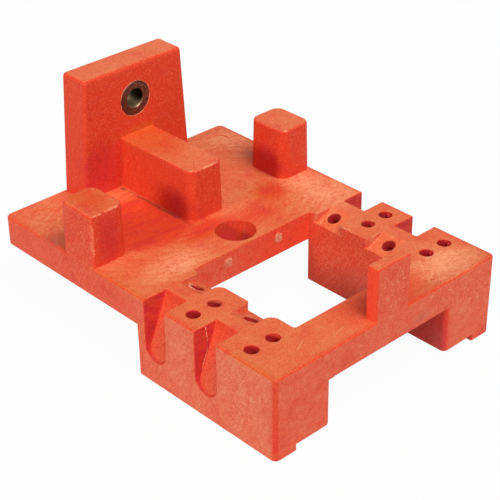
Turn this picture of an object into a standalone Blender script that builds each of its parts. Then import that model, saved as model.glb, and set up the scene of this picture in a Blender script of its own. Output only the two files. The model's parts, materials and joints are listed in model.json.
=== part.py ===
"""Drawer slide drilling template: one thick plastic moulding with a steel drill bush.

Units are metres. X runs across the template, Y from its front face to its back,
Z up. The feet are the strips under its two guide blocks, and the middle of its
footprint is at the origin. While the pieces are made, Y = 0 is the front face and
Z = 0 is the flat top that the plate, the blocks and the bar share.
"""
import math

import bmesh
import bpy
from mathutils import Matrix, Vector

# Plate, guide blocks and bar: the flat body that everything stands on
BODY_WIDTH = 0.0900
PLATE_THICKNESS = 0.0096
BAR_DEPTH = 0.0141
WINDOW_LENGTH = 0.0415
WINDOW_CORNER_RADIUS = 0.0008
BLOCK_WIDTH = 0.0210
BLOCK_LENGTH = 0.0564
BLOCK_HEIGHT = 0.0249
BLOCK_INNER_RADIUS = 0.0016
STRIP_WIDTH = 0.0080
STRIP_HEIGHT = 0.0021
FRONT_CORNER_RADIUS = 0.0018
BACK_CORNER_RADIUS = 0.0022
EDGE_RADIUS = 0.0007

# Upright at the back, which carries the drill bush
UPRIGHT_BASE_WIDTH = 0.0440
UPRIGHT_TOP_WIDTH = 0.0388
UPRIGHT_THICKNESS = 0.0110
UPRIGHT_HEIGHT = 0.0400
UPRIGHT_EDGE_RADIUS = 0.0013

# Rib, corner posts and front tab, all as high as each other: the drawer's back board
# drops into the room between the posts and the upright, and rests on the rib
LOCATOR_HEIGHT = 0.0170
LOCATOR_DRAFT = 0.0004
BOARD_ROOM = 0.0175
RIB_WIDTH = 0.0142
RIB_CORNER_RADIUS = 0.0030
POST_WIDTH = 0.0135
POST_DEPTH = 0.0160
POST_CORNER_RADIUS = 0.0034
LEFT_POST_OUTER_RADIUS = 0.0010
TAB_WIDTH = 0.0134
TAB_DEPTH = 0.0042
TAB_EDGE_RADIUS = 0.0007

# Drill bush, pressed into the upright above the rib
BUSH_DIAMETER = 0.0114
BUSH_BORE = 0.0060
BUSH_HEIGHT_OVER_RIB = 0.0115
BUSH_LEAD_IN = 0.0003
BUSH_EDGE = 0.0003
BUSH_CLEARANCE = 0.0003

# Round hole in the plate, between the window and the rib
PLATE_HOLE_DIAMETER = 0.0125
WINDOW_TO_HOLE = 0.0017
HOLE_TO_RIB = 0.0057

# Slots in the blocks' outer sides and pockets in their inner edges, in line in pairs
GUIDE_ANGLE = math.radians(22.5)
SLOT_WIDTH = 0.00875
SLOT_DEPTH = 0.0086
SLOT_HEIGHT = 0.0192
FIRST_SLOT = 0.0275
SLOT_SPACING = 0.0213
POCKET_WIDTH = 0.0077
POCKET_FRONT_RADIUS = 0.0030
POCKET_BACK_RADIUS = 0.0012

# Guide holes: four straight ones in each block, and one square to each pocket's floor
GUIDE_HOLE_DIAMETER = 0.0042
GUIDE_HOLE_FROM_SIDE = 0.0056
GUIDE_HOLE_PAIR_SPACING = 0.0080
FIRST_GUIDE_HOLES = 0.0149
GUIDE_HOLES_SPACING = 0.0234
POCKET_HOLE_FROM_EDGE = 0.0042
POCKET_HOLES_SPACING = 0.0225

# How far a cutter runs past the face that it opens, the flat that it keeps beside a
# rounded mouth, and how fine the curves are
OVERRUN = 0.0020
MOUTH_LAND = 0.0002
ARC_STEP = math.radians(15)
HOLE_SIDES = 24
LARGE_HOLE_SIDES = 40
SMOOTH_BELOW = math.radians(35)

# Places that follow from the sizes: the window, and the stations from front to back
WINDOW_SIDE = BODY_WIDTH / 2 - BLOCK_WIDTH
WINDOW_BACK = BAR_DEPTH + WINDOW_LENGTH
LOCATOR_FRONT = WINDOW_BACK + WINDOW_TO_HOLE + PLATE_HOLE_DIAMETER + HOLE_TO_RIB
UPRIGHT_FRONT = LOCATOR_FRONT + POST_DEPTH + BOARD_ROOM
BODY_LENGTH = UPRIGHT_FRONT + UPRIGHT_THICKNESS


# Each outline corner is x, y and a radius, so that rounds follow from the sizes
def rounded_outline(corners):
    points = []
    for index, (x, y, radius) in enumerate(corners):
        here = Vector((x, y))
        if radius == 0:
            points.append(here)
            continue
        before = (Vector(corners[index - 1][:2]) - here).normalized()
        after = (Vector(corners[(index + 1) % len(corners)][:2]) - here).normalized()
        half_angle = before.angle(after) / 2
        centre = here + (before + after).normalized() * radius / math.sin(half_angle)
        start = here + before * radius / math.tan(half_angle) - centre
        end = here + after * radius / math.tan(half_angle) - centre
        sweep = -start.angle_signed(end)
        steps = max(2, round(abs(sweep) / ARC_STEP))
        for step in range(steps + 1):
            points.append(centre + Matrix.Rotation(sweep * step / steps, 2) @ start)
    return points


def rectangle(left, right, front, back, radius=0.0):
    return rounded_outline([
        (left, front, radius), (right, front, radius), (right, back, radius), (left, back, radius)])


def prism(outline, low, high):
    shape = bmesh.new()
    face = shape.faces.new([shape.verts.new((x, y, low)) for x, y in outline])
    raised = bmesh.ops.extrude_face_region(shape, geom=[face])["geom"]
    tops = [part for part in raised if isinstance(part, bmesh.types.BMVert)]
    bmesh.ops.translate(shape, verts=tops, vec=(0, 0, high - low))
    bmesh.ops.recalc_face_normals(shape, faces=shape.faces)
    return shape


def round_edges(shape, chosen, radius, segments=2):
    edges = [edge for edge in shape.edges if chosen(edge)]
    bmesh.ops.bevel(
        shape, geom=edges, offset=radius, segments=segments, profile=0.5, affect="EDGES",
        clamp_overlap=True, material=-1)
    return shape


def at_height(height):
    return lambda edge: all(abs(vert.co.z - height) < 1e-6 for vert in edge.verts)


def above_plate(edge):
    return any(vert.co.z > 0 for vert in edge.verts)


def cylinder(centre, direction, radius, length, sides=HOLE_SIDES):
    shape = bmesh.new()
    bmesh.ops.create_cone(
        shape, cap_ends=True, segments=sides, radius1=radius, radius2=radius, depth=length)
    turn = direction.to_track_quat("Z", "Y").to_matrix().to_4x4()
    bmesh.ops.transform(shape, matrix=Matrix.Translation(centre) @ turn, verts=shape.verts)
    return shape


# Keeps the side that the normal points away from, and closes the cut
def trim(shape, point, normal):
    geometry = shape.verts[:] + shape.edges[:] + shape.faces[:]
    cut = bmesh.ops.bisect_plane(
        shape, geom=geometry, plane_co=point, plane_no=normal, clear_outer=True)
    rim = [part for part in cut["geom_cut"] if isinstance(part, bmesh.types.BMEdge)]
    bmesh.ops.edgeloop_fill(shape, edges=rim)
    bmesh.ops.recalc_face_normals(shape, faces=shape.faces)
    return shape


# One shape for the right-hand side makes its mirror image for the left
def both_sides(shape):
    other = shape.copy()
    bmesh.ops.scale(other, verts=other.verts, vec=(-1, 1, 1))
    bmesh.ops.reverse_faces(other, faces=other.faces)
    return [shape, other]


def new_object(name, shape, material=None):
    mesh = bpy.data.meshes.new(name)
    shape.to_mesh(mesh)
    shape.free()
    mesh.shade_smooth()
    mesh.set_sharp_from_angle(angle=SMOOTH_BELOW)
    item = bpy.data.objects.new(name, mesh)
    bpy.context.scene.collection.objects.link(item)
    if material:
        mesh.materials.append(material)
    return item


# Joins all the shapes to the target, or cuts them all from it, in one Boolean
def combine(target, operation, shapes):
    group = bpy.data.collections.new(f"{target.name}_{operation.lower()}")
    bpy.context.scene.collection.children.link(group)
    for index, shape in enumerate(shapes):
        tool = new_object(f"{group.name}_{index:02d}", shape)
        tool.display_type = "WIRE"
        tool.hide_render = True
        bpy.context.scene.collection.objects.unlink(tool)
        group.objects.link(tool)
    step = target.modifiers.new(group.name, "BOOLEAN")
    step.operation = operation
    step.operand_type = "COLLECTION"
    step.collection = group


def material(name, colour, roughness, metallic):
    finish = bpy.data.materials.new(name)
    finish.use_nodes = True
    finish.diffuse_color = (*colour, 1)
    shader = finish.node_tree.nodes["Principled BSDF"]
    shader.inputs["Base Color"].default_value = (*colour, 1)
    shader.inputs["Roughness"].default_value = roughness
    shader.inputs["Metallic"].default_value = metallic
    return finish


# The blank: plate, blocks and bar, and what stands on them, before anything is cut
def slab():
    side = BODY_WIDTH / 2
    outline = rounded_outline([
        (-side, 0, FRONT_CORNER_RADIUS), (side, 0, FRONT_CORNER_RADIUS),
        (side, BODY_LENGTH, BACK_CORNER_RADIUS), (-side, BODY_LENGTH, BACK_CORNER_RADIUS)])
    return round_edges(prism(outline, -PLATE_THICKNESS, 0), at_height(0), EDGE_RADIUS)


def block():
    outer = BODY_WIDTH / 2
    outline = rounded_outline([
        (WINDOW_SIDE, 0, BLOCK_INNER_RADIUS), (outer, 0, FRONT_CORNER_RADIUS),
        (outer, BLOCK_LENGTH, 0), (WINDOW_SIDE, BLOCK_LENGTH, 0)])
    return prism(outline, -BLOCK_HEIGHT, -PLATE_THICKNESS / 2)


def strip():
    outer = BODY_WIDTH / 2
    outline = rounded_outline([
        (outer - STRIP_WIDTH, 0, 0), (outer, 0, FRONT_CORNER_RADIUS),
        (outer, BLOCK_LENGTH, 0), (outer - STRIP_WIDTH, BLOCK_LENGTH, 0)])
    return prism(outline, -BLOCK_HEIGHT - STRIP_HEIGHT, -BLOCK_HEIGHT + STRIP_HEIGHT)


def upright():
    base = UPRIGHT_BASE_WIDTH / 2
    top = UPRIGHT_TOP_WIDTH / 2
    sunk = PLATE_THICKNESS / 2
    flare = (base - top) * sunk / UPRIGHT_HEIGHT
    outline = [
        (-base - flare, -sunk), (base + flare, -sunk), (top, UPRIGHT_HEIGHT), (-top, UPRIGHT_HEIGHT)]
    shape = prism(outline, 0, UPRIGHT_THICKNESS)
    stand = Matrix.Translation((0, BODY_LENGTH, 0)) @ Matrix.Rotation(math.pi / 2, 4, "X")
    bmesh.ops.transform(shape, matrix=stand, verts=shape.verts)
    return round_edges(shape, above_plate, UPRIGHT_EDGE_RADIUS)


def rib():
    side = RIB_WIDTH / 2
    back = UPRIGHT_FRONT + UPRIGHT_THICKNESS / 2
    outline = rounded_outline([
        (-side, LOCATOR_FRONT, RIB_CORNER_RADIUS), (side, LOCATOR_FRONT, RIB_CORNER_RADIUS),
        (side, back, 0), (-side, back, 0)])
    shape = prism(outline, -PLATE_THICKNESS / 2, LOCATOR_HEIGHT)
    tops = [vert for vert in shape.verts if vert.co.z > 0]
    taper = (1 - LOCATOR_DRAFT / side, 1 - LOCATOR_DRAFT / (back - LOCATOR_FRONT), 1)
    bmesh.ops.scale(shape, verts=tops, vec=taper, space=Matrix.Translation((0, -back, 0)))
    return round_edges(shape, at_height(LOCATOR_HEIGHT), EDGE_RADIUS)


# The two posts differ in one corner: the left one is nearly square at its outer front
def post(outer_front_radius):
    outer = BODY_WIDTH / 2
    inner = outer - POST_WIDTH
    back = LOCATOR_FRONT + POST_DEPTH
    outline = rounded_outline([
        (inner, LOCATOR_FRONT, POST_CORNER_RADIUS), (outer, LOCATOR_FRONT, outer_front_radius),
        (outer, back, POST_CORNER_RADIUS), (inner, back, POST_CORNER_RADIUS)])
    shape = prism(outline, -PLATE_THICKNESS / 2, LOCATOR_HEIGHT)
    middle = Vector((outer - POST_WIDTH / 2, back - POST_DEPTH / 2, 0))
    tops = [vert for vert in shape.verts if vert.co.z > 0]
    taper = (1 - 2 * LOCATOR_DRAFT / POST_WIDTH, 1 - 2 * LOCATOR_DRAFT / POST_DEPTH, 1)
    bmesh.ops.scale(shape, verts=tops, vec=taper, space=Matrix.Translation(-middle))
    return round_edges(shape, at_height(LOCATOR_HEIGHT), EDGE_RADIUS)


def tab():
    side = TAB_WIDTH / 2
    shape = prism(rectangle(-side, side, 0, TAB_DEPTH), -PLATE_THICKNESS / 2, LOCATOR_HEIGHT)
    return round_edges(shape, above_plate, TAB_EDGE_RADIUS)


# The cutters: what the mould and the drills leave open
def window():
    outline = rectangle(-WINDOW_SIDE, WINDOW_SIDE, BAR_DEPTH, WINDOW_BACK, WINDOW_CORNER_RADIUS)
    return prism(outline, -BLOCK_HEIGHT - OVERRUN, OVERRUN)


def plate_hole():
    radius = PLATE_HOLE_DIAMETER / 2
    centre = Vector((0, WINDOW_BACK + WINDOW_TO_HOLE + radius, 0))
    through = 2 * (PLATE_THICKNESS + OVERRUN)
    return cylinder(centre, Vector((0, 0, 1)), radius, through, LARGE_HOLE_SIDES)


def bush_centre():
    height = LOCATOR_HEIGHT + BUSH_HEIGHT_OVER_RIB
    return Vector((0, UPRIGHT_FRONT + UPRIGHT_THICKNESS / 2, height))


def bush_seat():
    radius = BUSH_DIAMETER / 2 + BUSH_CLEARANCE
    through = UPRIGHT_THICKNESS + 2 * OVERRUN
    return cylinder(bush_centre(), Vector((0, 1, 0)), radius, through, LARGE_HOLE_SIDES)


# Open at the top, round at the bottom, and shallower the lower it goes
def slot(middle):
    outer = BODY_WIDTH / 2
    half = SLOT_WIDTH / 2
    steps = round(math.pi / ARC_STEP)
    turns = [math.pi * step / steps for step in range(steps + 1)]
    bottom = [(middle - half * math.cos(turn), half - SLOT_HEIGHT - half * math.sin(turn)) for turn in turns]
    outline = [(middle - half, OVERRUN), *bottom, (middle + half, OVERRUN)]
    shape = prism(outline, outer - SLOT_DEPTH - OVERRUN, outer + OVERRUN)
    lay_down = Matrix(((0, 0, 1, 0), (1, 0, 0, 0), (0, 1, 0, 0), (0, 0, 0, 1)))
    bmesh.ops.transform(shape, matrix=lay_down, verts=shape.verts)
    slope = Vector((-math.cos(GUIDE_ANGLE), 0, -math.sin(GUIDE_ANGLE)))
    return trim(shape, Vector((outer - SLOT_DEPTH, 0, 0)), slope)


def pocket_floor_normal():
    return Vector((-math.sin(GUIDE_ANGLE), 0, math.cos(GUIDE_ANGLE)))


# Runs out at its outer end, where its slanted floor meets the top of the block
def pocket(middle):
    deep = WINDOW_SIDE + POCKET_WIDTH
    front = middle - SLOT_WIDTH / 2
    back = middle + SLOT_WIDTH / 2
    wide_front = front - POCKET_FRONT_RADIUS - MOUTH_LAND
    wide_back = back + POCKET_BACK_RADIUS + MOUTH_LAND
    outline = rounded_outline([
        (deep, back, 0), (WINDOW_SIDE, back, POCKET_BACK_RADIUS), (WINDOW_SIDE, wide_back, 0),
        (WINDOW_SIDE - OVERRUN, back, 0), (WINDOW_SIDE - OVERRUN, front, 0),
        (WINDOW_SIDE, wide_front, 0), (WINDOW_SIDE, front, POCKET_FRONT_RADIUS), (deep, front, 0)])
    shape = prism(outline, -POCKET_WIDTH, OVERRUN)
    return trim(shape, Vector((deep, 0, 0)), -pocket_floor_normal())


def pocket_hole(middle):
    drop = (POCKET_WIDTH - POCKET_HOLE_FROM_EDGE) * math.tan(GUIDE_ANGLE)
    mouth = Vector((WINDOW_SIDE + POCKET_HOLE_FROM_EDGE, middle, -drop))
    through = 2 * (BLOCK_HEIGHT + STRIP_HEIGHT + OVERRUN) / math.cos(GUIDE_ANGLE)
    return cylinder(mouth, pocket_floor_normal(), GUIDE_HOLE_DIAMETER / 2, through)


def guide_hole(across, along):
    through = 2 * (BLOCK_HEIGHT + STRIP_HEIGHT + OVERRUN)
    centre = Vector((across, along, 0))
    return cylinder(centre, Vector((0, 0, 1)), GUIDE_HOLE_DIAMETER / 2, through)


# A turned ring: its section runs round the bore, and both mouths have a lead-in
def drill_bush():
    half = UPRIGHT_THICKNESS / 2
    bore = BUSH_BORE / 2
    outside = BUSH_DIAMETER / 2
    section = [
        (bore, -half + BUSH_LEAD_IN), (bore + BUSH_LEAD_IN, -half), (outside - BUSH_EDGE, -half),
        (outside, -half + BUSH_EDGE), (outside, half - BUSH_EDGE), (outside - BUSH_EDGE, half),
        (bore + BUSH_LEAD_IN, half), (bore, half - BUSH_LEAD_IN)]
    shape = bmesh.new()
    verts = [shape.verts.new((radius, along, 0)) for radius, along in section]
    ring = [shape.edges.new((verts[index - 1], verts[index])) for index in range(len(verts))]
    bmesh.ops.spin(
        shape, geom=verts + ring, cent=(0, 0, 0), axis=(0, 1, 0), angle=2 * math.pi,
        steps=LARGE_HOLE_SIDES, use_merge=True)
    bmesh.ops.recalc_face_normals(shape, faces=shape.faces)
    bmesh.ops.translate(shape, verts=shape.verts, vec=bush_centre())
    return shape


for item in list(bpy.data.objects):
    bpy.data.objects.remove(item, do_unlink=True)

orange = material("orange_plastic", (0.80, 0.09, 0.03), 0.45, 0.0)
steel = material("bush_steel", (0.20, 0.13, 0.10), 0.35, 1.0)

body = new_object("template_body", slab(), orange)
right_post = post(POST_CORNER_RADIUS)
left_post = both_sides(post(LEFT_POST_OUTER_RADIUS))[1]
combine(body, "UNION", [
    *both_sides(block()), *both_sides(strip()), left_post, right_post, upright(), rib(), tab()])

cutters = [window(), plate_hole(), bush_seat()]
for row in range(2):
    slot_middle = FIRST_SLOT + row * SLOT_SPACING
    cutters += both_sides(slot(slot_middle))
    cutters += both_sides(pocket(slot_middle))
    hole_middle = FIRST_SLOT + SLOT_SPACING / 2 + (row - 0.5) * POCKET_HOLES_SPACING
    cutters += both_sides(pocket_hole(hole_middle))
    holes_along = FIRST_GUIDE_HOLES + row * GUIDE_HOLES_SPACING
    for column in range(2):
        from_side = GUIDE_HOLE_FROM_SIDE + column * GUIDE_HOLE_PAIR_SPACING
        cutters += both_sides(guide_hole(BODY_WIDTH / 2 - from_side, holes_along))
combine(body, "DIFFERENCE", cutters)

new_object("drill_bushing", drill_bush(), steel)

# The finished template is set down on its strips, with its footprint centred
lift = Vector((0, -BODY_LENGTH / 2, BLOCK_HEIGHT + STRIP_HEIGHT))
for item in bpy.data.objects:
    item.location = lift
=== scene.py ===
"""Drawer slide drilling template: its moulding and its drill bush, with their finishes.

Units are metres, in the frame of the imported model: X across the template, Y from its
front face to its back, Z up from the surface that it stands on.
"""
import json
import math
import random

import bmesh
import bpy
from mathutils import Matrix, Vector

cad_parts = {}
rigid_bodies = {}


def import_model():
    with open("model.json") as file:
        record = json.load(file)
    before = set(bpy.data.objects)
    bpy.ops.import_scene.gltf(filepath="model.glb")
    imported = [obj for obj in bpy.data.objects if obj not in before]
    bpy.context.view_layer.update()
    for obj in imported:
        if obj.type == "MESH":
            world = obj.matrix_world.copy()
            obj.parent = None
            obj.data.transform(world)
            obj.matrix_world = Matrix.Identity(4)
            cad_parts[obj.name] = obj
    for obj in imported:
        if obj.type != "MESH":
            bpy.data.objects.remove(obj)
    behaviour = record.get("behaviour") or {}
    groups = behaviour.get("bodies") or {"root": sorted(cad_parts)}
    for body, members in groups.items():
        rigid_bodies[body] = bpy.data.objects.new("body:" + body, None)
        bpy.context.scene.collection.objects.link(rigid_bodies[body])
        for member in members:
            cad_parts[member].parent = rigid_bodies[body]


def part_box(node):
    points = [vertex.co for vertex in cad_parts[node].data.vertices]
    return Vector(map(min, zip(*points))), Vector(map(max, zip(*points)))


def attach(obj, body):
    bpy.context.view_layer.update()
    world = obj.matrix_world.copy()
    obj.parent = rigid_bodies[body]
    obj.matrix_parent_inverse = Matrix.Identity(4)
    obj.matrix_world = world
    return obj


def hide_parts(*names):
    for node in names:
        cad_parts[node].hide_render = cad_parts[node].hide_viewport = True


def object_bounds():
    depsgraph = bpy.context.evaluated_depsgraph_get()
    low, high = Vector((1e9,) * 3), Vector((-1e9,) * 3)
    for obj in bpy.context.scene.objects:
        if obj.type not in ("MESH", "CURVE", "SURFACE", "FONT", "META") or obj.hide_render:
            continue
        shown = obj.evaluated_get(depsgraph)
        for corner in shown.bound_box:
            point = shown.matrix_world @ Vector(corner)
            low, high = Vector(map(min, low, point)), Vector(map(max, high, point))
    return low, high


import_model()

scene = bpy.context.scene
cad_low, cad_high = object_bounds()

# Camera: above the template's left front corner, close enough for some perspective.
# Its place, turn and focal length were fitted to the photograph's edges and corners.
CAMERA_PLACE = (-0.2551, -0.2760, 0.2508)
CAMERA_TURN = (58.600, 0.495, -43.330)
SENSOR_WIDTH = 36.0
FOCAL_LENGTH = 104.61

lens = bpy.data.cameras.new("camera")
lens.sensor_width = SENSOR_WIDTH
lens.lens = FOCAL_LENGTH
lens.clip_start = 0.01
camera = bpy.data.objects.new("camera", lens)
camera.location = CAMERA_PLACE
camera.rotation_euler = [math.radians(angle) for angle in CAMERA_TURN]
scene.collection.objects.link(camera)
scene.camera = camera


# Shader maths: a value is a socket, and sums and products of values add Math nodes
class Value:
    def __init__(self, shading, socket):
        self.shading = shading
        self.socket = socket

    def maths(self, operation, *others):
        inputs = dict(enumerate((self, *others)))
        return self.shading.node("ShaderNodeMath", {"operation": operation}, inputs)

    def __add__(self, other):
        return self.maths("ADD", other)

    __radd__ = __add__

    def __mul__(self, other):
        return self.maths("MULTIPLY", other)

    __rmul__ = __mul__

    # Swings about 0 by a noise that swings about a half
    def sway(self, reach):
        return (self - 0.5) * reach

    def __sub__(self, other):
        return self.maths("SUBTRACT", other)

    def __rsub__(self, other):
        return self * -1 + other

    # Rises from 0 to 1 as the value goes from low to high, or falls if low is the higher
    def smooth(self, low, high):
        settings = {"interpolation_type": "SMOOTHSTEP"}
        return self.shading.node("ShaderNodeMapRange", settings, {0: self, 1: low, 2: high})

    # Lines along which a noise passes through a half
    def lines(self, wide, narrow):
        return (self - 0.5).maths("ABSOLUTE").smooth(wide, narrow)


class Shading:
    def __init__(self, tree):
        self.tree = tree

    def node(self, kind, settings=None, inputs=None, output=0):
        made = self.tree.nodes.new(kind)
        for name, value in (settings or {}).items():
            setattr(made, name, value)
        for name, value in (inputs or {}).items():
            self.set(made.inputs[name], value)
        return Value(self, made.outputs[output])

    def set(self, socket, value):
        if isinstance(value, Value):
            self.tree.links.new(value.socket, socket)
        else:
            socket.default_value = value

    # Rays that show the surroundings themselves: to the camera, in gloss and through glass
    def seen(self):
        rays = [self.node("ShaderNodeLightPath", output=f"Is {kind} Ray")
                for kind in ("Camera", "Glossy", "Transmission")]
        return rays[0].maths("MAXIMUM", rays[1]).maths("MAXIMUM", rays[2])


class Finish(Shading):
    def __init__(self, name):
        self.material = bpy.data.materials.new(name)
        self.material.use_nodes = True
        super().__init__(self.material.node_tree)
        self.shader = self.tree.nodes["Principled BSDF"]
        self.place = self.node("ShaderNodeTexCoord", output="Object")

    def mix(self, share, first, second):
        return self.node("ShaderNodeMix", {"data_type": "RGBA"}, {0: share, 6: first, 7: second}, 2)

    # The place as measured from another origin, along turned axes and in larger units
    def moved(self, **change):
        return self.node(
            "ShaderNodeMapping", {"vector_type": "TEXTURE"}, {"Vector": self.place, **change})

    def parts(self, vector):
        return [self.node("ShaderNodeSeparateXYZ", None, {0: vector}, axis) for axis in range(3)]

    def noise(self, size, detail=2.0, roughness=0.5, distortion=0.0, **change):
        inputs = {"Vector": self.moved(**change) if change else self.place, "Scale": 1 / size,
                  "Detail": detail, "Roughness": roughness, "Distortion": distortion}
        return self.node("ShaderNodeTexNoise", None, inputs)

    # 1 round a centre, out to the inner share of the radii, and falling to 0 at the full radii
    def spot(self, centre, radii, inner=0.3, turn=(0, 0, 0)):
        scaled = self.moved(Location=centre, Scale=radii, Rotation=turn)
        near = self.node("ShaderNodeTexGradient", {"gradient_type": "SPHERICAL"}, {0: scaled}, "Fac")
        return near.smooth(0.0, 1 - inner)

    # The strongest of several spots
    def spots(self, places):
        found = [self.spot(*place) for place in places]
        strongest = found[0]
        for spot in found[1:]:
            strongest = strongest.maths("MAXIMUM", spot)
        return strongest

    def finish(self, **inputs):
        for name, value in inputs.items():
            self.set(self.shader.inputs[name.replace("_", " ")], value)
        return self.material


# Floor and light: a white table in a white room, with most of the light from a large
# lamp above the front, and a low lamp at the left that throws the posts' shadows
FLOOR_SIZE = 6.0
FLOOR_WHITE = (0.70, 0.70, 0.70, 1)
FLOOR_GLOW = 0.96
ROOM_LIGHT = 0.16

floor_shape = bmesh.new()
bmesh.ops.create_grid(floor_shape, x_segments=1, y_segments=1, size=FLOOR_SIZE / 2)
floor_mesh = bpy.data.meshes.new("floor")
floor_shape.to_mesh(floor_mesh)
floor_shape.free()
floor = bpy.data.objects.new("floor", floor_mesh)
scene.collection.objects.link(floor)
table = Finish("table_top")
table.finish(Base_Color=FLOOR_WHITE, Roughness=0.9)
glow = table.node("ShaderNodeEmission")
lit = Value(table, table.shader.outputs[0])
table_top = table.node("ShaderNodeMixShader", None, {0: table.seen() * FLOOR_GLOW, 1: lit, 2: glow})
table.set(table.tree.nodes["Material Output"].inputs["Surface"], table_top)
floor_mesh.materials.append(table.material)

world = bpy.data.worlds.new("room")
scene.world = world
world.use_nodes = True
room = Shading(world.node_tree)
backdrop = world.node_tree.nodes["Background"]
backdrop.inputs["Color"].default_value = (1, 1, 1, 1)
room.set(backdrop.inputs["Strength"], room.seen() * (1 - ROOM_LIGHT) + ROOM_LIGHT)


# A lamp so far away that only its way counts, with its strength and its width in degrees
def soft_lamp(name, towards, strength, softness):
    lamp = bpy.data.lights.new(name, "SUN")
    lamp.energy = strength
    lamp.angle = math.radians(softness)
    sun = bpy.data.objects.new(name, lamp)
    sun.rotation_euler = Vector(towards).to_track_quat("-Z", "Y").to_euler()
    scene.collection.objects.link(sun)


soft_lamp("front_lamp", towards=(0.08, 0.53, -0.85), strength=2.5, softness=45)
soft_lamp("left_lamp", towards=(1.0, 0.02, -0.36), strength=1.25, softness=13)

scene.view_settings.view_transform = "Standard"

# Moulding: one piece of orange-red glass-filled nylon, injected as thick walls. The
# plate, the bar, the two guide blocks and all that stands on them come from the mould
# with small rounds on their edges; the guide holes and slots are sharper.
PLATE = 0.0096
PLATE_EDGE = 0.0007
BAR = 0.0141
WINDOW_SIDE = 0.0240
WINDOW_BACK = 0.0556
WINDOW_RADIUS = 0.0008
BLOCK_BACK = 0.0564
BLOCK_DEPTH = 0.0249
BLOCK_INNER_RADIUS = 0.0016
STRIP_SIDE = 0.0370
FRONT_RADIUS = 0.0018
BACK_RADIUS = 0.0022
STANDING_HEIGHT = 0.0170
STANDING_FRONT = 0.0755
STANDING_EDGE = 0.0007
RIB_SIDE = 0.0071
RIB_RADIUS = 0.0030
POST_SIDE = 0.0315
POST_BACK = 0.0915
POST_RADIUS = 0.0034
LEFT_POST_OUTER_RADIUS = 0.0010
DRAFT = 0.0004
TAB_SIDE = 0.0067
TAB_BACK = 0.0042
UPRIGHT_TOP = 0.0400
UPRIGHT_FRONT = 0.1090
UPRIGHT_FOOT = 0.0220
UPRIGHT_HEAD = 0.0194
UPRIGHT_EDGE = 0.0013
BUSH_HEIGHT = 0.0285
BUSH_SEAT_RADIUS = 0.00575
PLATE_HOLE = (0.0, 0.06355)
PLATE_HOLE_RADIUS = 0.00625
GUIDE_ANGLE = math.radians(22.5)
SLOT_MIDDLES = (0.0275, 0.0488)
SLOT_HALF = 0.004375
SLOT_DEPTH = 0.0086
SLOT_FOOT = 0.0192
POCKET_END = 0.0317
POCKET_RADII = (0.0030, 0.0012)
POCKET_HOLE_SIDE = 0.0282
POCKET_HOLE_ROWS = (0.0269, 0.0494)
HOLE_RADIUS = 0.0021
HOLE_SIDES = (0.0314, 0.0394)
HOLE_ROWS = (0.0149, 0.0383)
EJECTOR = (0.0360, 0.1110)
EJECTOR_RADIUS = 0.0042
EJECTOR_DEPTH = 0.00012
PAST = 0.0020
FINE = 56
SAME = 1e-6
MERGE = 2e-6
CLOSE = 1e-5

# While it is modelled, the moulding's front face is at Y = 0 and its flat top at Z = 0
half_width = cad_high[0]
length = cad_high[1] - cad_low[1]
plate_top = cad_high[2] - UPRIGHT_TOP
to_place = Matrix.Translation((0, cad_low[1], plate_top))


def prism(points, low, high):
    shape = bmesh.new()
    face = shape.faces.new([shape.verts.new((x, y, low)) for x, y in points])
    raised = bmesh.ops.extrude_face_region(shape, geom=[face])["geom"]
    tops = [part for part in raised if isinstance(part, bmesh.types.BMVert)]
    bmesh.ops.translate(shape, verts=tops, vec=(0, 0, high - low))
    bmesh.ops.recalc_face_normals(shape, faces=shape.faces)
    return shape


def block(left, right, front, back, low, high):
    return prism([(left, front), (right, front), (right, back), (left, back)], low, high)


def round_edges(shape, edges, radius, segments):
    bmesh.ops.bevel(
        shape, geom=edges, offset=radius, segments=segments, profile=0.5, affect="EDGES",
        clamp_overlap=False, material=-1)
    return shape


def rounded(shape, chosen, radius, segments):
    edges = [edge for edge in shape.edges if all(chosen(vert.co) for vert in edge.verts)]
    return round_edges(shape, edges, radius, segments)


def round_corner(shape, x, y, radius, segments=8):
    return rounded(shape, lambda co: (co.xy - Vector((x, y))).length < SAME, radius, segments)


def round_top(shape, height, radius):
    return rounded(shape, lambda co: abs(co.z - height) < SAME, radius, 4)


def rod(centre, direction, radius, reach, sides=FINE):
    shape = bmesh.new()
    bmesh.ops.create_cone(
        shape, cap_ends=True, segments=sides, radius1=radius, radius2=radius, depth=reach)
    turn = Vector(direction).to_track_quat("Z", "Y").to_matrix().to_4x4()
    bmesh.ops.transform(shape, matrix=Matrix.Translation(centre) @ turn, verts=shape.verts)
    return shape


def trim(shape, point, normal):
    parts = shape.verts[:] + shape.edges[:] + shape.faces[:]
    cut = bmesh.ops.bisect_plane(
        shape, geom=parts, plane_co=point, plane_no=normal, clear_outer=True)["geom_cut"]
    rim = [part for part in cut if isinstance(part, bmesh.types.BMEdge)]
    bmesh.ops.edgeloop_fill(shape, edges=rim)
    bmesh.ops.recalc_face_normals(shape, faces=shape.faces)
    return shape


def both_sides(shape):
    other = shape.copy()
    bmesh.ops.scale(other, verts=other.verts, vec=(-1, 1, 1))
    bmesh.ops.reverse_faces(other, faces=other.faces)
    return [shape, other]


def new_piece(name, shape):
    mesh = bpy.data.meshes.new(name)
    shape.to_mesh(mesh)
    shape.free()
    piece = bpy.data.objects.new(name, mesh)
    scene.collection.objects.link(piece)
    return piece


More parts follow.
